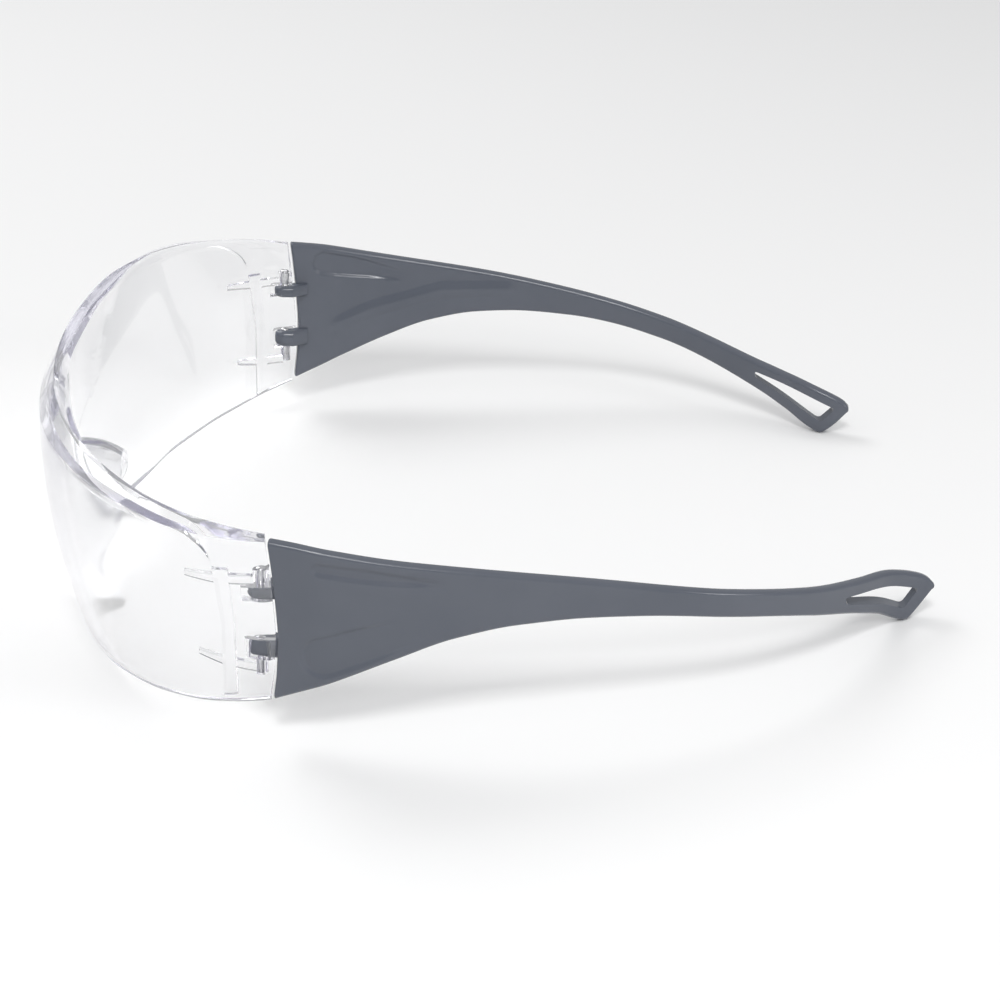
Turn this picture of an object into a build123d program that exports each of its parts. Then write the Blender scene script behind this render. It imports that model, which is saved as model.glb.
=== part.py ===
from build123d import *
import os
from math import cos, radians, sin

# Safety glasses resting open on a table: one clear wrap-round lens, two folding temples and
# four short hinge pins. Millimetres. +X is the wearer's left, the lens faces -Y, +Z is up.
# The origin is on the table, under the middle of the glasses.

# ---- driving dimensions -------------------------------------------------------------------
hinge_x = 68.5              # the hinge axes pass here, either side of the middle
hinge_y = -37.5
hinge_height = 16.0
hinge_lean_back = 0.063     # the axes lean by this much per millimetre of height
hinge_lean_out = 0.045
barrel_levels = [           # height, half width, half depth, centre behind the hinge axes
    (-2.0, 72.1, 55.6, 17.3),
    (21.0, 71.5, 48.0, 6.7),
    (44.0, 72.8, 35.6, -4.1),
]
wall = 2.2                  # lens wall thickness
brow_half_width = 69.6      # rear edge of the brow bar, seen from above
brow_half_depth = 38.8
brow_back = 1.2             # centre of that ellipse, behind the hinge axes
brow_slope = 10.0           # lean of the brow bar, degrees down towards the temples
brow_side_height = 37.2     # its height beside the hinges
bevel_run = 3.0             # the bevel on top of the brow bar drops 2 in every 3
bevel_drop = 2.0
bevel_reach = 30            # how many times over, to clear the lens's foot

rib_depth = 1.3             # ribs stand this far in from the wall
knuckle_r = 1.4             # clear hinge knuckles of the lens
lug_r = 1.95                # grey hinge lugs of the temples
pin_r = 0.7
pin_clearance = 0.05
pin_proud = 0.25            # the pins stand out by this much at the top
hinge_gap = 0.15            # between a lug and the knuckle that it turns on
joint_gap = 0.3             # between the lens end and the temple's front edge
upper_lug = (25.8, 28.05)   # bottom and top of each lug
lower_lug = (14.8, 18.2)
upper_knuckle = (28.2, 31.0)
lower_knuckle = (11.6, 14.65)
lug_neck = 5.0              # the lugs run back this far, into the plate
neck_start = 1.8            # their inner side turns towards the plate here
neck_end = 0.5              # and ends this far outside the hinge axis
notch_reach = 6.0           # the notches for the lugs run out past the lens wall
notch_depth = 4.0           # and back past its end

nose_top = 24.5             # top of the nose saddle
saddle = 1.8                # its thickness
saddle_drop = 1.1           # fall of its crown over 15 mm towards the face
arch_front = -50.0          # planes behind the hinge axes that the arch runs between
arch_rear = -20.0

plate = 2.2                 # temple thickness
plate_levels = (-2.0, 40.0) # heights that the plate is drawn at, below and above it
slot_corner = 0.4           # rounding of the slot in the tip
beyond = 90.0               # how far cutting shapes run, past every face


def from_hinge(distance):
    """Y of a place that lies this far behind the hinge axes."""
    return hinge_y + distance


def across_hinge(side, height):
    """The plane across one hinge axis at this height, centred on the axis."""
    at_hinge = Plane((side * hinge_x, hinge_y, hinge_height), x_dir=(1, 0, 0),
                     z_dir=(side * hinge_lean_out, hinge_lean_back, 1))
    return at_hinge.offset(height - hinge_height)


def side_view(points):
    """Points given as (distance behind the hinge axes, height), for a sketch on Plane.YZ."""
    return [(from_hinge(distance), height) for distance, height in points]


# The joint between lens and temple, in side view: a slightly bowed line
joint_low, joint_middle, joint_high = (1.4, 7.0), (2.9, 21.0), (2.8, 36.6)


def joint_points(shift):
    """Bottom, middle and top of the joint line, moved back by shift."""
    return side_view([(d + shift, z) for d, z in (joint_low, joint_middle, joint_high)])


# ---- the lens -----------------------------------------------------------------------------
def barrel_levels_inset(inset):
    """Level ellipses of the lens's curved surface, moved in by inset."""
    sections = []
    for height, half_width, half_depth, back in barrel_levels:
        with BuildSketch(Plane.XY.offset(height)) as level:
            with Locations((0, from_hinge(back))):
                Ellipse(half_width - inset, half_depth - inset)
        sections.append(level.sketch)
    return sections


with BuildPart() as barrel:
    loft(sections=barrel_levels_inset(0))

with BuildPart() as wall_hollow:
    loft(sections=barrel_levels_inset(wall))

with BuildPart() as rib_hollow:
    loft(sections=barrel_levels_inset(wall + rib_depth))

# Brow bar: a rim along the top of the lens that grows inwards and turns down at each side
with BuildPart() as brow_bar:
    add(barrel.part)
    with BuildSketch(Plane.XY):
        with Locations((0, from_hinge(brow_back))):
            Ellipse(brow_half_width, brow_half_depth)
    extrude(amount=beyond, mode=Mode.SUBTRACT)
    with BuildSketch(Plane.YZ):
        with BuildLine():
            top = Polyline(*side_view([(-50, 50), (6, 50), (6, 30)]))
            back = Line(top @ 1, (from_hinge(-4.6), 30))
            under = Spline(*side_view([(-4.6, 30), (-7.7, 34.4), (-12, 36.8), (-21.6, 38.9),
                                       (-30, 40.3), (-50, 40.6)]))
            Line(under @ 1, top @ 0)
        make_face()
    extrude(amount=beyond, both=True, mode=Mode.INTERSECT)

# Ribs behind the lens window: an upright one on each side, and two level ones to the knuckles
with BuildPart() as ribs:
    add(barrel.part)
    add(rib_hollow.part, mode=Mode.SUBTRACT)
    with BuildSketch(Plane.YZ):
        with BuildLine():
            Polyline(*side_view([(-6.6, 0), (-4.2, 0), (-3.8, 20), (-4.2, 33), (-6.6, 33),
                                 (-5.8, 20)]), close=True)
        make_face()
        with BuildLine():
            Polyline(*side_view([(-11, 29.2), (-6, 27.9), (1.2, 28.1), (1.2, 30), (-6, 29.8),
                                 (-11, 30)]), close=True)
        make_face()
        with BuildLine():
            Polyline(*side_view([(-10, 13.2), (-6, 11.7), (1.2, 11.3), (1.2, 13.2), (-6, 13.6),
                                 (-10, 14)]), close=True)
        make_face()
    extrude(amount=beyond, both=True, mode=Mode.INTERSECT)


def nose_arch(distance, inset, drop):
    """Arch over the nose on an upright plane this far behind the hinge axes, its crown lowered."""
    with BuildSketch(Plane.XZ.offset(-from_hinge(distance))) as arch:
        with BuildLine():
            crown = Spline((0, nose_top - inset - drop), (6.2 - inset * 0.5, 22.2 - inset - drop * 0.8),
                           (10.8 - inset, 15.2 - drop * 0.2), (14.2 - inset, 6), (21 - inset, -1),
                           tangents=[(1, 0), (1, -0.7)])
            Line(crown @ 1, (0, -1))
            Line((0, -1), crown @ 0)
        make_face()
        mirror(about=Plane.YZ)
    return arch.sketch


def nose_tunnel(inset):
    """The nose saddle's arch, run from ahead of the lens to behind the saddle."""
    return [nose_arch(arch_front, inset, -saddle_drop), nose_arch(arch_rear, inset, 2 * saddle_drop)]


# The nose saddle: an arch that runs back from the lens, cut off by a curve in side view
with BuildPart() as nose_plug:
    loft(sections=nose_tunnel(0), ruled=True)
    add(wall_hollow.part, mode=Mode.INTERSECT)
    with BuildSketch(Plane.YZ):
        with BuildLine():
            edge = Spline(*side_view([(-33.2, 26), (-31, 23.9), (-28.3, 21.8), (-28, 17.5),
                                      (-28.7, 13.4), (-31.3, 8.4), (-34.5, 3.4), (-38, 0)]))
            Polyline(edge @ 1, *side_view([(-46, 0), (-46, 26)]), edge @ 0)
        make_face()
    extrude(amount=beyond, both=True, mode=Mode.INTERSECT)

with BuildPart() as nose_opening:
    loft(sections=nose_tunnel(saddle), ruled=True)

with BuildPart() as lens:
    add(barrel.part)
    add(wall_hollow.part, mode=Mode.SUBTRACT)
    add(brow_bar.part)
    add(ribs.part)
    # side outline: brow, joint line and lower rim
    with BuildSketch(Plane.YZ):
        with BuildLine():
            low, middle, high = joint_points(-joint_gap)
            end = ThreePointArc(low, middle, high)
            brow = Spline(high, *side_view([(-4.4, 38.3), (-11.1, 39.7), (-18.8, 41.6),
                                            (-29.8, 43.2), (-37, 43.6), (-46, 43.4)]))
            rim = Spline(*side_view([(-31, 0), (-21, 1.9), (-11.7, 3.9)]), low,
                         tangents=[(1, 0), (1, 0.45)])
            Polyline(brow @ 1, *side_view([(-46, 0), (-31, 0)]))
        make_face()
    extrude(amount=beyond, both=True, mode=Mode.INTERSECT)
    # bevelled top of the brow bar
    lean = radians(brow_slope)
    roof = Plane((0, from_hinge(brow_back), brow_side_height), x_dir=(1, 0, 0),
                 z_dir=(0, sin(lean), cos(lean)))
    with BuildSketch(roof.offset(-bevel_drop * bevel_reach)):
        Ellipse(brow_half_width + bevel_run * bevel_reach, brow_half_depth + bevel_run * bevel_reach)
    with BuildSketch(roof.offset(bevel_drop * 2)):
        Ellipse(brow_half_width - bevel_run * 2, brow_half_depth - bevel_run * 2)
    loft(ruled=True, mode=Mode.INTERSECT)
    # nose saddle
    add(nose_plug.part)
    add(nose_opening.part, mode=Mode.SUBTRACT)
    # clear knuckles, notches for the temple's lugs, and pin holes
    for side in (-1, 1):
        for bottom, top_of_knuckle in (lower_knuckle, upper_knuckle):
            with BuildSketch(across_hinge(side, bottom)):
                Circle(knuckle_r)
            extrude(amount=top_of_knuckle - bottom)
        for bottom, top_of_notch in ((upper_lug[0] - hinge_gap, upper_knuckle[0]),
                                     (lower_knuckle[1], lower_lug[1] + hinge_gap)):
            with BuildSketch(across_hinge(side, bottom)):
                Circle(lug_r + joint_gap)
                with Locations((side * (notch_reach - lug_r - joint_gap) / 2, notch_depth / 2)):
                    Rectangle(notch_reach + lug_r + joint_gap, notch_depth)
            extrude(amount=top_of_notch - bottom, mode=Mode.SUBTRACT)
        with BuildSketch(across_hinge(side, lower_knuckle[0])):
            Circle(pin_r)
        extrude(amount=upper_knuckle[1] + 2 * pin_proud - lower_knuckle[0], mode=Mode.SUBTRACT)


# ---- the temples --------------------------------------------------------------------------
temple_plan = [             # distance behind the hinge axes, outer face at the table, its lean
    (-1.0, 69.5, 0.064),
    (11.2, 71.8, 0.064),
    (21.2, 72.2, 0.064),
    (41.2, 71.3, 0.062),
    (61.2, 69.1, 0.048),
    (81.2, 63.7, 0.030),
    (101.2, 50.1, 0.012),
    (109.2, 43.4, 0.005),
    (119.0, 40.2, 0.0),
]


def temple_level(height):
    """Level section of the left temple's plate, with its ends left long."""
    with BuildSketch(Plane.XY.offset(height)) as level:
        with BuildLine():
            Spline(*[(face + lean * height, from_hinge(distance))
                     for distance, face, lean in temple_plan])
            offset(amount=plate, side=Side.LEFT)
        make_face()
    return level.sketch


with BuildPart() as left_temple:
    loft(sections=[temple_level(height) for height in plate_levels], ruled=True)
    # side outline: deep behind the hinge, then narrowing to a hooked tip
    with BuildSketch(Plane.YZ):
        with BuildLine():
            front = ThreePointArc(*joint_points(0))
            top = Spline(front @ 1, *side_view([(21.2, 32.6), (51.2, 26.55), (81.2, 18.7),
                                                (98, 13.3), (107, 11), (113.2, 8.5)]))
            tip = ThreePointArc(top @ 1, *side_view([(115.8, 7.4), (116.2, 5.2)]))
            heel = Line(tip @ 1, side_view([(112.2, 0.7)])[0])
            toe = ThreePointArc(heel @ 1, *side_view([(111.2, 0), (110, 0.35)]))
            Spline(toe @ 1, *side_view([(96.2, 8.3), (81.2, 13.9), (61.2, 18.3), (46.2, 19.4),
                                        (31.2, 17.7), (21.2, 14.45)]), front @ 0)
        make_face()
    extrude(amount=beyond, both=True, mode=Mode.INTERSECT)
    # slot through the tip
    with BuildSketch(Plane.YZ):
        with BuildLine():
            above = Spline(*side_view([(98.2, 10.7), (105.5, 9.1), (113.1, 5.7)]))
            rear = Line(above @ 1, side_view([(110.4, 2.6)])[0])
            below = Spline(rear @ 1, *side_view([(104.6, 6.3), (98.2, 9.4)]))
            Line(below @ 1, above @ 0)
        make_face()
        slot_corners = vertices()
        fillet(slot_corners, radius=slot_corner)
    extrude(amount=beyond, mode=Mode.SUBTRACT)
    # hinge lugs, each with a neck that blends into the inside of the plate
    for bottom, top_of_lug in (lower_lug, upper_lug):
        with BuildSketch(across_hinge(1, bottom)):
            Circle(lug_r)
            with BuildLine():
                Polyline((-lug_r, 0), (-lug_r, neck_start), (neck_end, lug_neck), (lug_r, lug_neck),
                         (lug_r, 0), close=True)
            make_face()
            Circle(pin_r + pin_clearance, mode=Mode.SUBTRACT)
        extrude(amount=top_of_lug - bottom)

with BuildPart() as right_temple:
    mirror(left_temple.part, about=Plane.YZ)


# ---- the hinge pins -----------------------------------------------------------------------
def hinge_pin(side, bottom, top, rounding):
    """A pin along one hinge axis, rounded over at the top."""
    with BuildPart() as pin:
        with BuildSketch(across_hinge(side, bottom)):
            Circle(pin_r)
        extrude(amount=top - bottom)
        fillet(pin.edges().group_by(Axis.Z)[-1], radius=rounding)
    return pin.part


pins = {}
for side_name, side in (("left", 1), ("right", -1)):
    pins[side_name + "_upper_hinge_pin"] = hinge_pin(side, upper_lug[0], upper_knuckle[1] + pin_proud,
                                                    pin_proud)
    pins[side_name + "_lower_hinge_pin"] = hinge_pin(side, lower_knuckle[0], lower_lug[1] + pin_proud,
                                                    pin_proud)

# ---- output -------------------------------------------------------------------------------
pieces = {
    "lens": lens.part,
    "left_temple": left_temple.part,
    "right_temple": right_temple.part,
    **pins,
}
os.makedirs("parts", exist_ok=True)
for name, piece in pieces.items():
    piece.label = name
    export_step(piece, "parts/" + name + ".step")
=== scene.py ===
from math import cos, pi, radians, sin, sqrt

import bmesh
import bpy
import numpy as np
from mathutils import Matrix, Vector


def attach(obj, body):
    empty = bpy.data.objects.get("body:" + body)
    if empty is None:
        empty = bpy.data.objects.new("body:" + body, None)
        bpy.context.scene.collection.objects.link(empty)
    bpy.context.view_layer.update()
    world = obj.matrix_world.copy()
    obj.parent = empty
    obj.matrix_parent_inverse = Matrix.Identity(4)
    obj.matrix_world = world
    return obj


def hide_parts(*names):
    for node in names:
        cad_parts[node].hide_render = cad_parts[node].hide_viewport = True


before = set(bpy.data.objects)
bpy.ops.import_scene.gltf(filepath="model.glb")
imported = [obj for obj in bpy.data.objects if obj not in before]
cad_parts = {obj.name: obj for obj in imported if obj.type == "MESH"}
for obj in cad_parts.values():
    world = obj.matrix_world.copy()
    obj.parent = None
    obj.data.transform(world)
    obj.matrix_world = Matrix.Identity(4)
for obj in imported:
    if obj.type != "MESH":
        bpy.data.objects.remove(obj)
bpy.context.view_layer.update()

# Safety glasses. Shapes are worked out in millimetres in the CAD's own frame and turned into
# metres as each mesh is made. "Back" is the distance behind the hinges, so y = back + HINGE_Y.
MM = 0.001
HINGE_Y = -37.5
WALL = 2.2                      # lens wall thickness
PLATE = 2.2                     # temple thickness
JOINT_GAP = 0.3                 # between the lens end and the temple
BODY_OF_SIDE = {1: "left_temple", -1: "right_temple"}


# ---- curves ---------------------------------------------------------------------------------
def curve_through(points):
    """A smooth function through (x, y) points that doesn't overshoot between them."""
    xs, ys = (np.array(column, float) for column in zip(*points))
    slopes = np.diff(ys) / np.diff(xs)
    before, after = slopes[:-1], slopes[1:]
    tangents = np.concatenate([slopes[:1], np.zeros(len(xs) - 2), slopes[-1:]])
    same_way = before * after > 0
    harmonic = 2 * before[same_way] * after[same_way] / (before + after)[same_way]
    tangents[1:-1][same_way] = harmonic

    def value(x):
        x = min(max(x, xs[0]), xs[-1])
        i = min(max(int(np.searchsorted(xs, x)) - 1, 0), len(xs) - 2)
        h = xs[i + 1] - xs[i]
        f = (x - xs[i]) / h
        return (ys[i] * (1 + 2 * f) * (1 - f) ** 2 + tangents[i] * h * f * (1 - f) ** 2
                + ys[i + 1] * f * f * (3 - 2 * f) + tangents[i + 1] * h * f * f * (f - 1))
    return value


def mix(a, b, f):
    return a + (b - a) * f


def ease(f):
    """0 to 1 with a soft start and end."""
    f = min(max(f, 0.0), 1.0)
    return f * f * (3 - 2 * f)


# The joint between lens and temple: how far back it is, at each height
joint_back = curve_through([(-2, 0.0), (7, 1.2), (13, 2.15), (21, 2.8), (26, 2.75), (31, 2.6), (36.6, 2.3),
                            (44, 1.9)])


# ---- meshes ---------------------------------------------------------------------------------
def mesh_object(name, points, faces):
    """An object from points in (x, back, height) millimetres."""
    data = bpy.data.meshes.new(name)
    data.from_pydata([(x * MM, (back + HINGE_Y) * MM, z * MM) for x, back, z in points], [], faces)
    data.validate()
    obj = bpy.data.objects.new(name, data)
    bpy.context.scene.collection.objects.link(obj)
    return obj


def cap(points, start, left, right):
    """Triangles between two chains of points that both run upwards."""
    faces = []
    i = j = 0
    while i < len(left) - 1 or j < len(right) - 1:
        use_left = j == len(right) - 1
        if i < len(left) - 1 and not use_left:
            use_left = points[start + left[i + 1]][2] <= points[start + right[j + 1]][2]
        if use_left:
            faces.append((start + left[i], start + left[i + 1], start + right[j]))
            i += 1
        else:
            faces.append((start + left[i], start + right[j + 1], start + right[j]))
            j += 1
    return faces


def skin(name, rings, merge=0.002, split=None):
    """A closed mesh through a row of closed rings that have the same number of points each.

    Points closer than merge become one. split is (first, last): the points of a ring between
    them run up its left side, and the others run down its right side, for ends that aren't flat."""
    count = len(rings[0])
    points = [p for ring in rings for p in ring]
    faces = []
    for r in range(len(rings) - 1):
        for i in range(count):
            j = (i + 1) % count
            faces.append((r * count + i, r * count + j, (r + 1) * count + j, (r + 1) * count + i))
    last = (len(rings) - 1) * count
    if split is None:
        faces += [tuple(reversed(range(count))), tuple(last + i for i in range(count))]
    else:
        left = [i % count for i in range(split[0], split[1] + 1)]
        right = [i % count for i in range(split[0] + count - 1, split[1], -1)]
        faces += [tuple(reversed(face)) for face in cap(points, 0, left, right)]
        faces += cap(points, last, left, right)
    obj = mesh_object(name, points, faces)
    clean(obj, merge)
    return obj


def clean(obj, merge=0.002):
    """Merges doubled points, drops empty faces and turns every face outwards."""
    bm = bmesh.new()
    bm.from_mesh(obj.data)
    bmesh.ops.remove_doubles(bm, verts=bm.verts, dist=merge * MM)
    bmesh.ops.dissolve_degenerate(bm, edges=bm.edges, dist=merge * 0.5 * MM)
    bmesh.ops.recalc_face_normals(bm, faces=bm.faces)
    if bm.calc_volume(signed=True) < 0:
        bmesh.ops.reverse_faces(bm, faces=bm.faces)
    bm.to_mesh(obj.data)
    bm.free()


def apply_modifiers(obj):
    graph = bpy.context.evaluated_depsgraph_get()
    graph.update()
    data = bpy.data.meshes.new_from_object(obj.evaluated_get(graph))
    data.materials.clear()
    obj.modifiers.clear()
    obj.data = data


def combine(obj, other, operation):
    """Adds the other mesh to obj, or cuts it away, and removes the other."""
    step = obj.modifiers.new(operation, "BOOLEAN")
    step.operation = operation
    step.solver = "MANIFOLD"
    step.object = other
    apply_modifiers(obj)
    bpy.data.objects.remove(other)


def bevel(obj, width, angle, segments):
    """Rounds the edges that are sharper than angle."""
    step = obj.modifiers.new("rounding", "BEVEL")
    step.width = width * MM
    step.segments = segments
    step.limit_method = "ANGLE"
    step.angle_limit = radians(angle)
    step.miter_outer = "MITER_ARC"
    apply_modifiers(obj)


def smooth(obj, angle):
    """Smooth shading, with the edges sharper than angle kept."""
    for polygon in obj.data.polygons:
        polygon.use_smooth = True
    obj.data.set_sharp_from_angle(angle=radians(angle))


# ---- the hinge axes -------------------------------------------------------------------------
HINGE_X = 68.5
HINGE_HEIGHT = 16.0
LEAN_OUT, LEAN_BACK = 0.045, 0.063


def hinge_frame(side):
    """Matrix whose Z runs up one hinge axis, with heights counted from the table, in mm."""
    up = Vector((side * LEAN_OUT, LEAN_BACK, 1)).normalized()
    across = Vector((1, 0, 0))
    across = (across - up * across.dot(up)).normalized()
    back = up.cross(across)
    turn = Matrix((across, back, up)).transposed().to_4x4()
    foot = Vector((side * HINGE_X, 0, HINGE_HEIGHT)) - up * HINGE_HEIGHT
    return Matrix.Translation(foot) @ turn


def lathe(name, side, profile, steps=32):
    """A turned shape on one hinge axis, from (radius, height) points, the ends on the axis."""
    place = hinge_frame(side)
    rings = []
    for k in range(steps):
        angle = 2 * pi * k / steps
        rings.append([tuple(place @ Vector((r * cos(angle), r * sin(angle), h))) for r, h in profile])
    count = len(profile)
    points = [p for ring in rings for p in ring]
    faces = []
    for k in range(steps):
        n = (k + 1) % steps
        for i in range(count - 1):
            faces.append((k * count + i, n * count + i, n * count + i + 1, k * count + i + 1))
    obj = mesh_object(name, points, faces)
    clean(obj)
    return obj


def hinge_prism(name, side, outline, bottom, top):
    """A prism along one hinge axis, from (outwards, back) points round the axis."""
    place = hinge_frame(side)
    rings = [[tuple(place @ Vector((side * x, y, h))) for x, y in outline] for h in (bottom, top)]
    return skin(name, rings)


# ---- the lens -------------------------------------------------------------------------------
# Its level sections are parts of ellipses. Each size is given at the table, with its growth up to
# ELLIPSE_TOP and how far it bows in between.
ELLIPSE_TOP = 41.0
HALF_WIDTH, WIDTH_GROWTH, WIDTH_BOW = 72.11, 0.43, -0.79
HALF_DEPTH, DEPTH_GROWTH, DEPTH_BOW = 54.44, -16.93, 2.10
CENTRE_BACK, CENTRE_GROWTH = 16.38, -19.05


def level_ellipse(height, inset):
    """Half width, half depth and centre of the lens's level section, moved in by inset."""
    t = height / ELLIPSE_TOP
    bow = 4 * t * (1 - t)
    half_width = HALF_WIDTH + WIDTH_GROWTH * t + WIDTH_BOW * bow - inset
    half_depth = HALF_DEPTH + DEPTH_GROWTH * t + DEPTH_BOW * bow - inset
    return half_width, half_depth, CENTRE_BACK + CENTRE_GROWTH * t


def wall_point(station, height, inset):
    """A point of the lens wall: station runs from -1 to 1 between the two joints."""
    half_width, half_depth, centre = level_ellipse(height, inset)
    end = np.arccos((centre - joint_back(height) + JOINT_GAP) / half_depth)
    angle = station * end
    return (half_width * sin(angle), centre - half_depth * cos(angle), height)


def wall_at(side, back, height, inset):
    """The point of the lens wall this far back."""
    half_width, half_depth, centre = level_ellipse(height, inset)
    reach = max(-1.0, min(1.0, (centre - back) / half_depth))
    return (side * half_width * sqrt(1 - reach * reach), back, height)


# The brow bar's rear edge follows an ellipse of its own, seen from above
BROW_WIDTH, BROW_DEPTH, BROW_CENTRE = 69.6, 38.8, 1.2
BROW_JOINT_HEIGHT = 36.6        # where it meets the temples
KEYSTONE = 1.7                  # how far the brow's lip grows back over the nose
LIP_FADE, LIP_FADE_RUN = 0.1, 0.5       # stations over which the lip dies out
BROW_STEP = 0.5                 # from the lip's underside down to the inner wall
brow_end = np.arccos((BROW_CENTRE - joint_back(BROW_JOINT_HEIGHT) + JOINT_GAP) / BROW_DEPTH)

# Heights along the brow bar by station, 0 over the nose and 1 at the joint: the crease at the top
# of the outer wall, and the top and the underside of the bar's rear edge
crease_height = curve_through([(0, 38.2), (0.12, 38.3), (0.22, 38.9), (0.34, 40.1), (0.42, 40.8),
                               (0.51, 41.0), (0.61, 40.5), (0.68, 39.8), (0.75, 38.9), (0.88, 37.7),
                               (1, 36.5)])
top_height = curve_through([(0, 43.0), (0.2, 43.1), (0.34, 43.5), (0.47, 42.9), (0.58, 42.0),
                            (0.68, 40.9), (0.77, 39.9), (0.9, 38.3), (1, 36.8)])
under_height = curve_through([(0, 39.9), (0.1, 39.9), (0.2, 40.3), (0.27, 40.9), (0.35, 41.0), (0.45, 40.4),
                              (0.556, 40.2), (0.623, 40.1), (0.678, 39.6), (0.738, 38.9), (0.776, 38.3),
                              (0.8, 37.7), (0.82, 36.7), (0.84, 35.4), (0.855, 33.6), (0.87, 31.1),
                              (0.885, 30.1), (1, 30.0)])

# Height of the lens's lower rim, by distance behind the hinges
rim_height = curve_through([(-31, 0.0), (-29, 0.1), (-24.5, 1.3), (-19.4, 2.2), (-15.8, 3.0),
                            (-11.7, 3.8), (-6, 5.2), (-3.1, 5.9), (1.2, 7.0)])

# The arch over the nose: heights of its top and its underside, by distance from the middle
arch_top = curve_through([(0, 24.5), (3, 23.9), (6, 22.2), (9, 19.0), (11, 15.2), (13, 10.6), (15, 6.0),
                          (17, 3.2), (20, 1.6), (23, 0.6), (26, 0.0)])
arch_under = curve_through([(0, 22.7), (2.5, 22.2), (5.0, 20.7), (7.6, 17.8), (9.4, 14.4), (11.4, 9.8),
                            (13.4, 5.2), (15.6, 1.8), (18, 0.0)])
ABOVE_ARCH = 30.0               # a height that is clear of the arch

# The nose saddle: its rear edge by height, and how far it falls towards the face by distance
# from the middle
saddle_back = curve_through([(0, -28.5), (1.4, -29.8), (3.0, -32.3), (6.3, -33.3), (8.4, -32.1),
                             (10.7, -30.6), (13.4, -29.4), (15.7, -28.6), (18.1, -28.2), (25, -28.0)])
saddle_fall = curve_through([(0, 3.0), (5, 2.9), (8, 2.0), (11.5, 0.5), (14, 0.0), (24, 0.0)])
SADDLE_FADE, SADDLE_FADE_RUN = 0.22, 0.13       # stations over which the saddle dies out
SADDLE_FULL = 1.4               # height of its edge at which it has its whole reach
FALL_POWER = 2.5                # it falls slowly at first, then faster

# The pillar inside the lens over the nose, by height: how thick it is and how wide to each side
pillar_depth = curve_through([(20, 4.3), (24.5, 3.9), (27, 3.3), (30, 2.8), (36, 2.4), (41, 2.4)])
pillar_width = curve_through([(15, 8), (24.5, 7), (30, 7), (36, 10), (40, 16), (41, 16)])
PILLAR_START, PILLAR_RUN = 12, 8        # heights over which it grows out of the wall

OUTER_ROWS, INNER_ROWS, SADDLE_ROWS = 40, 36, 8
HALVINGS = 40                   # of an interval, in a search


def inner_point(station, height):
    """A point of the inner wall, which thickens into a pillar over the nose."""
    x = abs(wall_point(station, height, WALL)[0])
    grown = pillar_depth(height) * (1 - ease(x / pillar_width(height)))
    grown *= ease((height - PILLAR_START) / PILLAR_RUN)
    return wall_point(station, height, WALL + grown)


def meets(station, inset, height_of):
    """Height where a wall column meets a curve given by distance from the middle."""
    low, high = 0.0, ABOVE_ARCH
    for _ in range(HALVINGS):
        middle = (low + high) / 2
        x = abs(wall_point(station, middle, inset)[0])
        if middle < height_of(x):
            low = middle
        else:
            high = middle
    return low


def rim_at(station, inset):
    """Height of the lower rim where there is no nose arch."""
    height = 0.0
    rounds = 8                  # the wall leans, so the height is found step by step
    for _ in range(rounds):
        height = rim_height(wall_point(station, height, inset)[1])
    return height


def halfway(a, b):
    return tuple(mix(p, q, 0.5) for p, q in zip(a, b))


def lens_ring(station):
    """The lens's section at one station, as one closed ring from the outer lower edge."""
    u = abs(station)
    outer_low = max(rim_at(station, 0), meets(station, 0, arch_under))
    inner_under = max(rim_at(station, WALL), meets(station, WALL, arch_under))
    inner_low = max(inner_under, meets(station, WALL, arch_top))
    under = under_height(u)
    angle = station * brow_end
    lip = KEYSTONE * (1 - ease((u - LIP_FADE) / LIP_FADE_RUN))
    brow = (BROW_WIDTH * sin(angle), BROW_CENTRE - BROW_DEPTH * cos(angle), top_height(u))
    under_brow = ((BROW_WIDTH - lip) * sin(angle), BROW_CENTRE - (BROW_DEPTH - lip) * cos(angle),
                  under)
    ring = [wall_point(station, mix(outer_low, crease_height(u), k / OUTER_ROWS), 0)
            for k in range(OUTER_ROWS + 1)]
    ring += [brow, halfway(brow, under_brow), under_brow]
    ring += [inner_point(station, mix(under - BROW_STEP, inner_low, k / INNER_ROWS))
             for k in range(INNER_ROWS + 1)]
    # shelf of the nose saddle, out along its top and back along its underside
    corner = ring[-1]
    foot = inner_point(station, inner_under)
    reach = 1 - ease((u - SADDLE_FADE) / SADDLE_FADE_RUN)
    reach *= ease((inner_low - inner_under) / SADDLE_FULL)
    fall = saddle_fall(abs(corner[0]))
    rear = mix(corner[1], max(corner[1], saddle_back(corner[2])), reach)
    rear_foot = mix(foot[1], max(foot[1], saddle_back(foot[2])), reach)
    outward = [k / SADDLE_ROWS for k in range(1, SADDLE_ROWS + 1)]
    ring += [(corner[0], mix(corner[1], rear, f), corner[2] - fall * reach * f ** FALL_POWER)
             for f in outward]
    ring += [(foot[0], mix(foot[1], rear_foot, f), foot[2] - fall * reach * f ** FALL_POWER)
             for f in reversed(outward)]
    ring.append(foot)
    return ring


def wall_patch(name, side, outline, low, high):
    """A raised patch on the lens wall: a (back, height) outline between two insets."""
    spacing = 0.6               # of the points along the outline, so that it follows the wall
    dense = []
    for (b0, h0), (b1, h1) in zip(outline, outline[1:] + outline[:1]):
        steps = max(1, int(sqrt((b1 - b0) ** 2 + (h1 - h0) ** 2) / spacing))
        dense += [(mix(b0, b1, k / steps), mix(h0, h1, k / steps)) for k in range(steps)]
    rings = [[wall_at(side, back, height, inset) for back, height in dense] for inset in (low, high)]
    return skin(name, rings)


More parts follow.
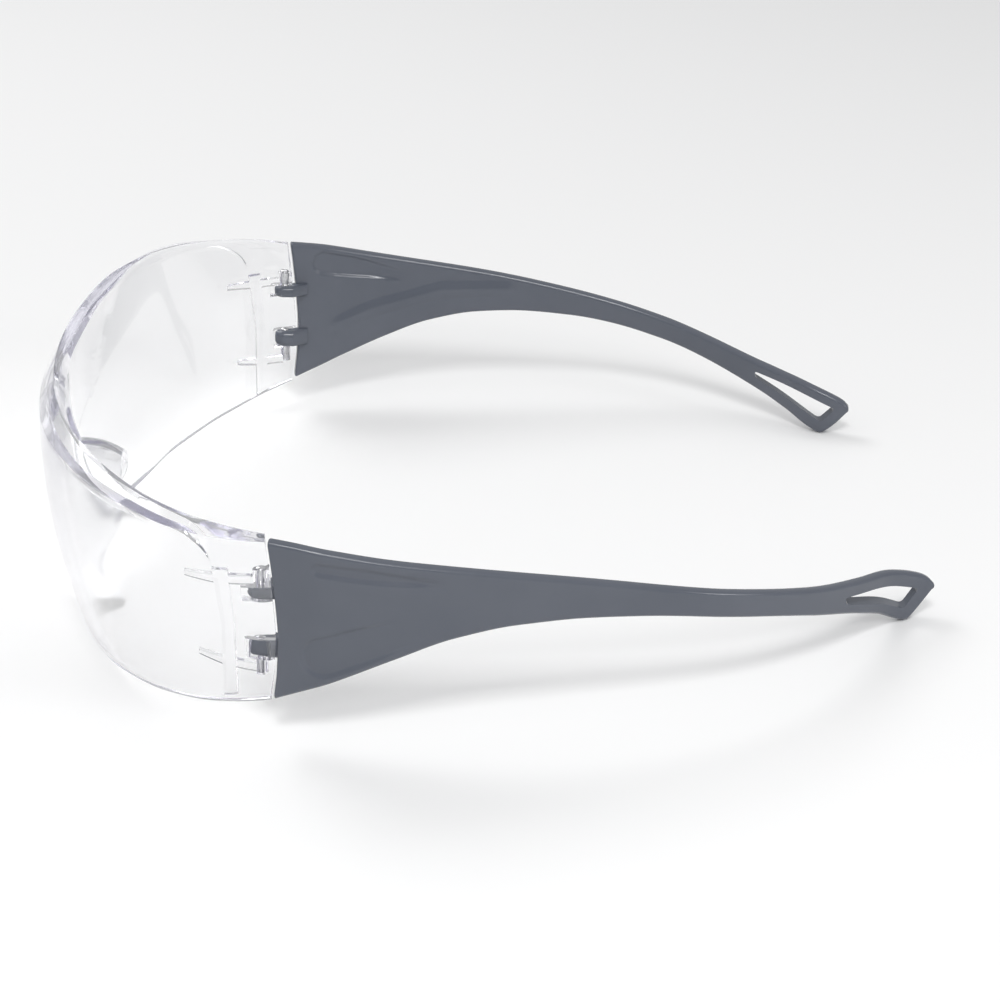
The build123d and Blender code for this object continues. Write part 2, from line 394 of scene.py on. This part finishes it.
# Hinges: each lug turns on a pin in a knuckle of the lens. Levels are a bottom and a top.
LUG_R, KNUCKLE_R, PIN_R = 2.1, 1.3, 0.7
UPPER_LUG, LOWER_LUG = (25.8, 28.05), (14.8, 18.2)
UPPER_KNUCKLE, LOWER_KNUCKLE = (28.2, 31.0), (11.6, 14.65)
LUG_GAP = 0.15                  # room round a lug
PIN_GAP = 0.05                  # room round a pin in a lug
HOLE_OVER, HOLE_UNDER = 0.4, 0.2        # how far the pin holes run past what they go through
SKIN = 0.35                     # thickness of lens wall that stays outside the lugs
NOTCH_BACK, NOTCH_DEPTH = 6, 5.0        # the notches for the lugs run past the wall and its end

# Ribs inside the lens as (back, height) outlines, an upright one and two level ones to the knuckles
UPRIGHT_RIB = [(-6.6, 5.6), (-4.2, 6.4), (-3.8, 20), (-4.2, 31), (-6.6, 31), (-5.9, 20)]
LEVEL_RIBS = ([(-11, 29.0), (-6, 28.3), (0.4, 28.3), (0.4, 29.8), (-6, 29.8), (-11, 29.8)],
              [(-10, 13.2), (-6, 12.0), (-0.6, 11.5), (-0.6, 13.0), (-6, 13.4), (-10, 13.9)])
RIB_ROOT = 0.4                  # the ribs start this far inside the wall
UPRIGHT_DEPTH, LEVEL_DEPTH = 1.2, 1.0

# Stations are close together round the nose, and further apart to the sides
NOSE_STEP, NOSE_STATIONS, SIDE_STATIONS = 0.0028, 129, 110


def circle(radius, steps=36):
    return [(radius * cos(2 * pi * k / steps), radius * sin(2 * pi * k / steps)) for k in range(steps)]


def notch(side, bottom, top):
    """Room for a lug behind the outer skin of the lens, open to the back."""
    front = -LUG_R - JOINT_GAP
    outline = [(front, bottom), (NOTCH_BACK, bottom), (NOTCH_BACK, top), (front, top)]
    return wall_patch("notch", side, outline, SKIN, NOTCH_DEPTH)


def make_lens():
    nose = [NOSE_STEP * k for k in range(1, NOSE_STATIONS + 1)]
    sides = [mix(nose[-1], 1.0, k / SIDE_STATIONS) for k in range(1, SIDE_STATIONS + 1)]
    half = nose + sides
    stations = [-s for s in reversed(half)] + [0.0] + half
    rings = [lens_ring(s) for s in stations]
    lens = skin("lens_clear", rings, merge=0.02, split=(0, OUTER_ROWS + 1))
    bevel(lens, width=0.28, angle=32, segments=2)
    for side in (-1, 1):
        upright = wall_patch("rib", side, UPRIGHT_RIB, WALL - RIB_ROOT, WALL + UPRIGHT_DEPTH)
        combine(lens, upright, "UNION")
        for outline in LEVEL_RIBS:
            level = wall_patch("rib", side, outline, WALL - RIB_ROOT, WALL + LEVEL_DEPTH)
            combine(lens, level, "UNION")
        for bottom, top in (UPPER_KNUCKLE, LOWER_KNUCKLE):
            knuckle = hinge_prism("knuckle", side, circle(KNUCKLE_R), bottom, top)
            combine(lens, knuckle, "UNION")
        for bottom, top in ((UPPER_LUG[0] - LUG_GAP, UPPER_KNUCKLE[0]),
                            (LOWER_KNUCKLE[1], LOWER_LUG[1] + LUG_GAP)):
            combine(lens, notch(side, bottom, top), "DIFFERENCE")
            # the lug swings through this
            swept = hinge_prism("swept", side, circle(LUG_R + LUG_GAP), bottom, top)
            combine(lens, swept, "DIFFERENCE")
        for bottom, top in ((UPPER_LUG[1], UPPER_KNUCKLE[1] + HOLE_OVER),
                            (LOWER_KNUCKLE[0] - HOLE_UNDER, LOWER_LUG[0])):
            combine(lens, hinge_prism("hole", side, circle(PIN_R), bottom, top), "DIFFERENCE")
    clean(lens, merge=0.003)
    smooth(lens, angle=30)
    return lens


# ---- the temples ----------------------------------------------------------------------------
# The plate's outer face by distance behind the hinges: how far out it is at the table, and how
# much further out for each millimetre of height
face_at_table = curve_through([(-1, 69.5), (5, 70.7), (11.2, 71.8), (21.2, 72.2), (31, 71.9), (41.2, 71.3),
                               (61.2, 69.1), (72, 67.0), (81.2, 63.7), (91.2, 58.0), (101.2, 50.1),
                               (109.2, 43.4), (114, 41.2), (119, 40.2)])
face_lean = curve_through([(-1, 0.064), (41.2, 0.062), (61.2, 0.048), (81.2, 0.030), (101.2, 0.012),
                           (109.2, 0.005), (119, 0.0)])
# Heights of its upper and lower edges
temple_top = curve_through([(0, 37.0), (2.8, 36.6), (21.2, 32.6), (51.2, 26.55), (81.2, 18.7), (98, 13.3),
                            (103, 12.0), (107, 11.0), (110.5, 9.7), (113.2, 8.5), (115.2, 7.3),
                            (116.3, 6.0)])
temple_under = curve_through([(1.2, 7.0), (11.2, 10.6), (21.2, 14.45), (31.2, 17.7), (41.2, 19.2),
                              (48, 19.35), (61.2, 18.3), (81.2, 13.9), (96.2, 8.3), (105.2, 3.8),
                              (109.5, 0.7), (111.2, 0.0), (112.2, 0.7), (116.3, 5.4)])
CORNER = 0.8                    # rounding of the plate's long edges
FACE_ROWS, CORNER_STEPS = 96, 4
MIDDLE_HEIGHT = 21.0            # of the plate at the joint, where its edges are first looked up
# Stations along the plate: close together at first, wider along the arm, closest at the tip
PLATE_START, ARM_START, TIP_START, TEMPLE_END = 3.3, 27.3, 113.0, 116.1
PLATE_STEP, ARM_STEP, TIP_STEP = 0.3, 0.6, 0.25
PLATE_STATIONS, ARM_STATIONS, TIP_STATIONS = 80, 143, 11
END_ROUND, END_SQUEEZE = 0.12, 0.2      # the end face stands out by this and is this much smaller
# The front edge follows the joint: how much smaller each section is, and how far behind the joint
FRONT_ROUND = ((0.3, 0.0), (0.1, 0.1), (0.0, 0.3))
JOINT_BACK = 2.9                # just behind the furthest point of the bowed joint line
BOW_START, BOW_RUN = 3.2, 14.0          # the bow of that line straightens out over this length
SLOT_CUT = (30, 62)             # the cut for the slot runs between these distances from the middle


def plate_point(side, station, height, depth):
    """A point of the temple plate: depth runs in from the outer face."""
    step = 0.5
    slope = (face_at_table(station + step) - face_at_table(station - step)) / (2 * step)
    length = sqrt(1 + slope * slope)
    x = face_at_table(station) + face_lean(station) * height
    return (side * (x - depth / length), station + depth * slope / length, height)


def near_line(back, height, line):
    """Distance from a point of the temple face to a broken line, and how far along it that is."""
    best = (1e9, 0.0)
    walked = 0.0
    for (b0, h0), (b1, h1) in zip(line, line[1:]):
        length = sqrt((b1 - b0) ** 2 + (h1 - h0) ** 2)
        f = ((back - b0) * (b1 - b0) + (height - h0) * (h1 - h0)) / length ** 2
        f = min(max(f, 0.0), 1.0)
        gap = sqrt((back - mix(b0, b1, f)) ** 2 + (height - mix(h0, h1, f)) ** 2)
        best = min(best, (gap, walked + f * length))
        walked += length
    return best


def scoop(back, height, line, radius, edge, depth, fade):
    """Depth of a shallow scoop along a line. radius gives its half width, edge is how far its side
    slopes, and fade is where it dies out along the line."""
    gap, along = near_line(back, height, line)
    return depth * ease((radius(along) - gap) / edge) * (1 - ease((along - fade[0]) / (fade[1] - fade[0])))


# Shallow scoops along (back, height) lines, with their half widths by distance along the line
UPPER_LINE = [(10.2, 31.8), (20, 29.9), (31, 27.8)]
LOWER_LINE = [(9.9, 15.5), (16, 17.4), (26, 20.6)]
INNER_LINE = [(9.0, 31.6), (18, 29.8), (27, 27.6)]
upper_radius = curve_through([(0, 1.5), (6, 1.6), (22, 0.9), (30, 0.9)])
lower_radius = curve_through([(0, 4.1), (6, 3.8), (18, 2.8), (30, 2.8)])
inner_radius = curve_through([(0, 2.7), (6, 2.4), (19, 1.4), (30, 1.4)])
# The ridge on the inner face
RIDGE_LINE = [(8, 16.6), (18, 20.6), (34, 24.4), (48, 24.2)]
RIDGE_HEIGHT, RIDGE_RADIUS, RIDGE_FADE = 0.28, 2.2, 5


def outer_dent(back, height):
    upper = scoop(back, height, UPPER_LINE, upper_radius, edge=1.1, depth=0.42, fade=(14, 21))
    lower = scoop(back, height, LOWER_LINE, lower_radius, edge=0.95, depth=0.52, fade=(6, 15))
    return upper + lower


def inner_dent(back, height):
    dent = scoop(back, height, INNER_LINE, inner_radius, edge=0.7, depth=0.45, fade=(9, 18))
    gap, along = near_line(back, height, RIDGE_LINE)
    return dent - RIDGE_HEIGHT * ease(1 - gap / RIDGE_RADIUS) * ease(along / RIDGE_FADE)


def temple_ring(side, station, squeeze, behind, joint_share):
    """A rounded section of the plate, made smaller all round by squeeze.

    joint_share is how far it follows the joint line, this far behind it, instead of its station."""
    def back_at(height):
        return mix(station, joint_back(height) + behind, joint_share)

    low = temple_under(back_at(MIDDLE_HEIGHT)) + squeeze
    high = temple_top(back_at(MIDDLE_HEIGHT)) - squeeze
    low = temple_under(back_at(low)) + squeeze
    high = temple_top(back_at(high)) - squeeze
    r = min(CORNER, (high - low) / 2 - 0.01)
    outer, inner = squeeze, PLATE - squeeze
    turns = [pi / 2 * k / CORNER_STEPS for k in range(1, CORNER_STEPS)]
    ring = [(outer, mix(low + r, high - r, k / FACE_ROWS)) for k in range(FACE_ROWS + 1)]
    ring += [(outer + r - r * cos(a), high - r + r * sin(a)) for a in turns]
    ring += [(outer + r, high), (inner - r, high)]
    ring += [(inner - r + r * sin(a), high - r + r * cos(a)) for a in turns]
    ring += [(inner, mix(high - r, low + r, k / FACE_ROWS)) for k in range(FACE_ROWS + 1)]
    ring += [(inner - r + r * cos(a), low + r - r * sin(a)) for a in turns]
    ring += [(inner - r, low), (outer + r, low)]
    ring += [(outer + r - r * sin(a), low + r - r * cos(a)) for a in turns]
    touching = 1e-6             # on a face, for rounding errors
    points = []
    for depth, height in ring:
        back = back_at(height)
        if depth <= outer + touching:
            depth += outer_dent(back, height)
        elif depth >= inner - touching:
            depth -= inner_dent(back, height)
        points.append(plate_point(side, back, height, depth))
    return points


# Each lug's levels, how far out it reaches beside the hinge axis, and how much further for each
# millimetre back
LUGS = ((UPPER_LUG, 1.72, 0.12), (LOWER_LUG, 1.25, 0.26))
NECK_BACK = 4.8                 # the necks run back this far, into the plate
NECK_START, NECK_END = 1.8, 0.5         # where a neck's inner side starts back, and ends outwards
LUG_ROUNDING = 0.34             # of a lug's height, at its bottom and top
OUTER_SHARE = 0.5               # of that rounding, on the lug's outer side


def lug_outline(reach, slope, radius):
    """Round the hinge axis, cut to follow the inside of the lens's skin, with a short neck."""
    low, high = pi, 2 * pi
    halvings, steps = 30, 20
    for _ in range(halvings):
        end = (low + high) / 2
        if radius * cos(end) < reach + slope * radius * sin(end):
            low = end
        else:
            high = end
    turns = [mix(pi, low, k / steps) for k in range(steps + 1)]
    arc = [(radius * cos(a), radius * sin(a)) for a in turns]
    return arc + [(reach + slope * NECK_BACK, NECK_BACK), (NECK_END, NECK_BACK), (-radius, NECK_START)]


def make_lug(side, reach, slope, bottom, top):
    """A lug that is rounded over at its bottom and top."""
    place = hinge_frame(side)
    rounding = LUG_ROUNDING * (top - bottom)
    steps = 6
    turns = [pi / 2 * k / steps for k in range(steps + 1)]
    levels = [(rounding * (1 - sin(a)), rounding * (1 - cos(a))) for a in turns]
    heights = [(inset, bottom + rise) for inset, rise in levels]
    heights += [(inset, top - rise) for inset, rise in reversed(levels)]
    rings = []
    for inset, height in heights:
        outline = lug_outline(reach - inset * OUTER_SHARE, slope, LUG_R - inset)
        rings.append([tuple(place @ Vector((side * x, y, height))) for x, y in outline])
    return skin("lug", rings)


# Corners of the slot through the tip as (back, height), with how far the rounding runs from each
SLOT = [(98.1, 10.7, 0.5), (105.5, 9.1, 6.0), (113.2, 5.8, 0.9), (110.4, 2.6, 0.9), (104.6, 6.3, 6.0),
        (98.2, 9.4, 0.5)]


def slot_outline():
    """The slot as (back, height) points with rounded corners."""
    most = 0.45                 # of a side that the rounding at one end may take
    steps = 6
    outline = []
    for i, (back, height, run) in enumerate(SLOT):
        here = Vector((back, height))
        before = Vector(SLOT[i - 1][:2]) - here
        after = Vector(SLOT[(i + 1) % len(SLOT)][:2]) - here
        run = min(run, before.length * most, after.length * most)
        start, end = here + before.normalized() * run, here + after.normalized() * run
        for f in (k / steps for k in range(steps + 1)):
            outline.append(tuple(start * (1 - f) ** 2 + here * 2 * f * (1 - f) + end * f * f))
    return outline


def temple_stations():
    stations = [PLATE_START + PLATE_STEP * k for k in range(PLATE_STATIONS)]
    stations += [ARM_START + ARM_STEP * k for k in range(ARM_STATIONS)]
    stations += [TIP_START + TIP_STEP * k for k in range(1, TIP_STATIONS + 1)]
    return stations + [TEMPLE_END]


def make_temple(side):
    name = BODY_OF_SIDE[side]
    rings = [temple_ring(side, 0, squeeze, behind, 1.0) for squeeze, behind in FRONT_ROUND]
    for s in temple_stations():
        share = max(0.0, 1 - (s - BOW_START) / BOW_RUN)
        rings.append(temple_ring(side, s, 0.0, s - JOINT_BACK, share * share))
    rings.append(temple_ring(side, TEMPLE_END + END_ROUND, END_SQUEEZE, 0, 0.0))
    temple = skin(name + "_arm", rings, merge=0.01, split=(-CORNER_STEPS, FACE_ROWS + CORNER_STEPS))
    slot = skin("slot", [[(side * x, back, z) for back, z in slot_outline()] for x in SLOT_CUT])
    combine(temple, slot, "DIFFERENCE")
    for (bottom, top), reach, slope in LUGS:
        combine(temple, make_lug(side, reach, slope, bottom, top), "UNION")
        hole = hinge_prism("hole", side, circle(PIN_R + PIN_GAP), bottom - HOLE_UNDER, top + HOLE_UNDER)
        combine(temple, hole, "DIFFERENCE")
    clean(temple, merge=0.003)
    smooth(temple, angle=30)
    return temple


# ---- the hinge pins -------------------------------------------------------------------------
FOOT_SHARE, FOOT_RISE = 0.8, 0.15       # a pin's foot is narrower over a short height
HEAD_RIM = 0.22                 # its head is this much wider all round
# Above the knuckle or lug: the head's underside, where its dome starts, the dome's rise, and its top
HEAD_BASE, HEAD_EDGE, HEAD_DOME, HEAD_TOP = 0.02, 0.08, 0.42, 0.5


def make_pin(name, side, bottom, top):
    """A pin from one level to another, with a domed head above that one."""
    head = PIN_R + HEAD_RIM
    profile = [(0, bottom), (PIN_R * FOOT_SHARE, bottom), (PIN_R, bottom + FOOT_RISE)]
    profile += [(PIN_R, top + HEAD_BASE), (head, top + HEAD_BASE)]
    turns = [pi / 2 * k / 8 for k in range(8)]
    profile += [(head * cos(a), top + HEAD_EDGE + HEAD_DOME * sin(a)) for a in turns]
    profile.append((0, top + HEAD_TOP))
    pin = lathe(name + "_steel", side, profile)
    smooth(pin, angle=50)
    return pin


# ---- materials ------------------------------------------------------------------------------
class Nodes:
    """A material's node tree, with short ways to add and join nodes."""

    def __init__(self, name):
        self.material = bpy.data.materials.new(name)
        self.material.use_nodes = True
        self.tree = self.material.node_tree
        self.shader = self.tree.nodes["Principled BSDF"]
        self.output = self.tree.nodes["Material Output"]

    def add(self, kind, **settings):
        node = self.tree.nodes.new(kind)
        for key, value in settings.items():
            if key in node.inputs:
                node.inputs[key].default_value = value
            else:
                setattr(node, key, value)
        return node

    def join(self, source, socket, target, name):
        self.tree.links.new(source.outputs[socket], target.inputs[name])

    def ramp(self, source, socket, stops):
        node = self.add("ShaderNodeValToRGB")
        elements = node.color_ramp.elements
        while len(elements) < len(stops):
            elements.new(0.5)
        for element, (place, colour) in zip(elements, stops):
            element.position = place
            element.color = (*colour, 1)
        self.join(source, socket, node, "Fac")
        return node


def grey_plastic():
    nodes = Nodes("grey_plastic")
    place = nodes.add("ShaderNodeTexCoord")
    clouds = nodes.add("ShaderNodeTexNoise", Scale=60.0, Detail=4.0)
    grain = nodes.add("ShaderNodeTexNoise", Scale=2600.0, Detail=2.0)
    for texture in (clouds, grain):
        nodes.join(place, "Object", texture, "Vector")
    colour = nodes.ramp(clouds, "Fac", [(0.3, (0.088, 0.098, 0.122)), (0.7, (0.100, 0.110, 0.135))])
    nodes.join(colour, "Color", nodes.shader, "Base Color")
    rough = nodes.add("ShaderNodeMapRange")
    rough.inputs["To Min"].default_value = 0.17
    rough.inputs["To Max"].default_value = 0.27
    nodes.join(clouds, "Fac", rough, "Value")
    nodes.join(rough, "Result", nodes.shader, "Roughness")
    bump = nodes.add("ShaderNodeBump", Strength=0.05, Distance=0.0001)
    nodes.join(grain, "Fac", bump, "Height")
    nodes.join(bump, "Normal", nodes.shader, "Normal")
    nodes.shader.inputs["IOR"].default_value = 1.5
    return nodes.material


def clear_polycarbonate():
    nodes = Nodes("clear_polycarbonate")
    shader = nodes.shader
    shader.inputs["Base Color"].default_value = (0.965, 0.967, 0.972, 1)
    shader.inputs["Transmission Weight"].default_value = 1.0
    shader.inputs["Roughness"].default_value = 0.05
    shader.inputs["IOR"].default_value = 1.586
    light = nodes.add("ShaderNodeLightPath")
    through = nodes.add("ShaderNodeBsdfTransparent", Color=(0.88, 0.88, 0.87, 1))
    choose = nodes.add("ShaderNodeMixShader")
    nodes.join(light, "Is Shadow Ray", choose, "Fac")
    nodes.tree.links.new(shader.outputs[0], choose.inputs[1])
    nodes.tree.links.new(through.outputs[0], choose.inputs[2])
    nodes.tree.links.new(choose.outputs[0], nodes.output.inputs["Surface"])
    tint = nodes.add("ShaderNodeVolumeAbsorption", Color=(0.38, 0.36, 0.56, 1), Density=8.0)
    nodes.tree.links.new(tint.outputs[0], nodes.output.inputs["Volume"])
    return nodes.material


def pin_steel():
    nodes = Nodes("pin_steel")
    place = nodes.add("ShaderNodeTexCoord")
    marks = nodes.add("ShaderNodeTexNoise", Scale=1800.0, Detail=3.0)
    nodes.join(place, "Object", marks, "Vector")
    colour = nodes.ramp(marks, "Fac", [(0.3, (0.52, 0.52, 0.53)), (0.7, (0.70, 0.70, 0.71))])
    nodes.join(colour, "Color", nodes.shader, "Base Color")
    nodes.shader.inputs["Metallic"].default_value = 1.0
    nodes.shader.inputs["Roughness"].default_value = 0.22
    bump = nodes.add("ShaderNodeBump", Strength=0.1, Distance=0.0001)
    nodes.join(marks, "Fac", bump, "Height")
    nodes.join(bump, "Normal", nodes.shader, "Normal")
    return nodes.material


def table_top():
    nodes = Nodes("table_top")
    nodes.shader.inputs["Base Color"].default_value = (0.90, 0.90, 0.90, 1)
    nodes.shader.inputs["Roughness"].default_value = 0.55
    return nodes.material


# ---- the object -----------------------------------------------------------------------------
plastic, clear, steel = grey_plastic(), clear_polycarbonate(), pin_steel()

lens = make_lens()
lens.data.materials.append(clear)
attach(lens, "front")
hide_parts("lens")

for side, body in BODY_OF_SIDE.items():
    temple = make_temple(side)
    temple.data.materials.append(plastic)
    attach(temple, body)
    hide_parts(body)
    hand = body.split("_")[0]
    for level, bottom, top in (("upper", UPPER_LUG[0], UPPER_KNUCKLE[1]),
                               ("lower", LOWER_KNUCKLE[0], LOWER_LUG[1])):
        node = hand + "_" + level + "_hinge_pin"
        pin = make_pin(node, side, bottom, top)
        pin.data.materials.append(steel)
        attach(pin, "front")
        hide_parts(node)

# ---- floor, light and camera ----------------------------------------------------------------
HALF_FLOOR = 3.0
floor_data = bpy.data.meshes.new("table")
floor_data.from_pydata([(-HALF_FLOOR, -HALF_FLOOR, 0), (HALF_FLOOR, -HALF_FLOOR, 0),
                        (HALF_FLOOR, HALF_FLOOR, 0), (-HALF_FLOOR, HALF_FLOOR, 0)], [], [(0, 1, 2, 3)])
floor = bpy.data.objects.new("table", floor_data)
bpy.context.scene.collection.objects.link(floor)
floor_data.materials.append(table_top())


def studio_sky():
    """Soft light from all round, paler towards the top."""
    world = bpy.data.worlds.new("studio")
    bpy.context.scene.world = world
    world.use_nodes = True
    tree = world.node_tree
    background = tree.nodes["Background"]
    background.inputs["Strength"].default_value = 0.73
    direction = tree.nodes.new("ShaderNodeTexCoord")
    upwards = tree.nodes.new("ShaderNodeSeparateXYZ")
    shade = tree.nodes.new("ShaderNodeValToRGB")
    for element, place, colour in zip(shade.color_ramp.elements, (0.0, 0.75),
                                      ((0.50, 0.51, 0.53, 1), (0.80, 0.80, 0.80, 1))):
        element.position = place
        element.color = colour
    tree.links.new(direction.outputs["Generated"], upwards.inputs["Vector"])
    tree.links.new(upwards.outputs["Z"], shade.inputs["Fac"])
    tree.links.new(shade.outputs["Color"], background.inputs["Color"])


LIT_PLACE = Vector((0, 0, 0.02))        # the middle of the glasses


def soft_light(name, place, size, power):
    """A square lamp that faces the middle of the glasses."""
    data = bpy.data.lights.new(name, "AREA")
    data.size = size
    data.energy = power
    lamp = bpy.data.objects.new(name, data)
    lamp.location = place
    lamp.rotation_euler = (LIT_PLACE - Vector(place)).to_track_quat("-Z", "Y").to_euler()
    bpy.context.scene.collection.objects.link(lamp)


studio_sky()
soft_light("key", (0.46, 0.0, 0.64), 0.18, 2.1)
soft_light("glint", (0.59, 0.1, 0.47), 0.14, 0.6)
soft_light("window", (-0.5, -0.35, 0.6), 0.35, 1.8)
soft_light("back", (0.45, 0.78, 0.36), 0.2, 1.2)

bpy.context.scene.view_settings.view_transform = "Standard"
# the light passes through many walls of the clear lens
BOUNCES = 96
bpy.context.scene.cycles.max_bounces = BOUNCES
bpy.context.scene.cycles.glossy_bounces = BOUNCES
bpy.context.scene.cycles.transmission_bounces = BOUNCES

CAMERA_PLACE = (0.41138, -0.01167, 0.20149)
CAMERA_RIGHT = Vector((0.0545, 0.998, -0.0327))
CAMERA_UP = Vector((-0.4163, 0.0525, 0.9077))
CAMERA_BACK = Vector((0.9076, -0.0359, 0.4184))
SENSOR = 36.0
LENS_PER_SENSOR = 2.4           # focal length in sensor widths
SHIFT_DOWN = -0.02
camera_data = bpy.data.cameras.new("camera")
camera_data.sensor_width = SENSOR
camera_data.lens = SENSOR * LENS_PER_SENSOR
camera_data.shift_y = SHIFT_DOWN
camera = bpy.data.objects.new("camera", camera_data)
turn = Matrix((CAMERA_RIGHT.normalized(), CAMERA_UP.normalized(), CAMERA_BACK.normalized())).transposed()
camera.matrix_world = Matrix.Translation(CAMERA_PLACE) @ turn.to_4x4()
bpy.context.scene.collection.objects.link(camera)
bpy.context.scene.camera = camera

bpy.context.view_layer.update()
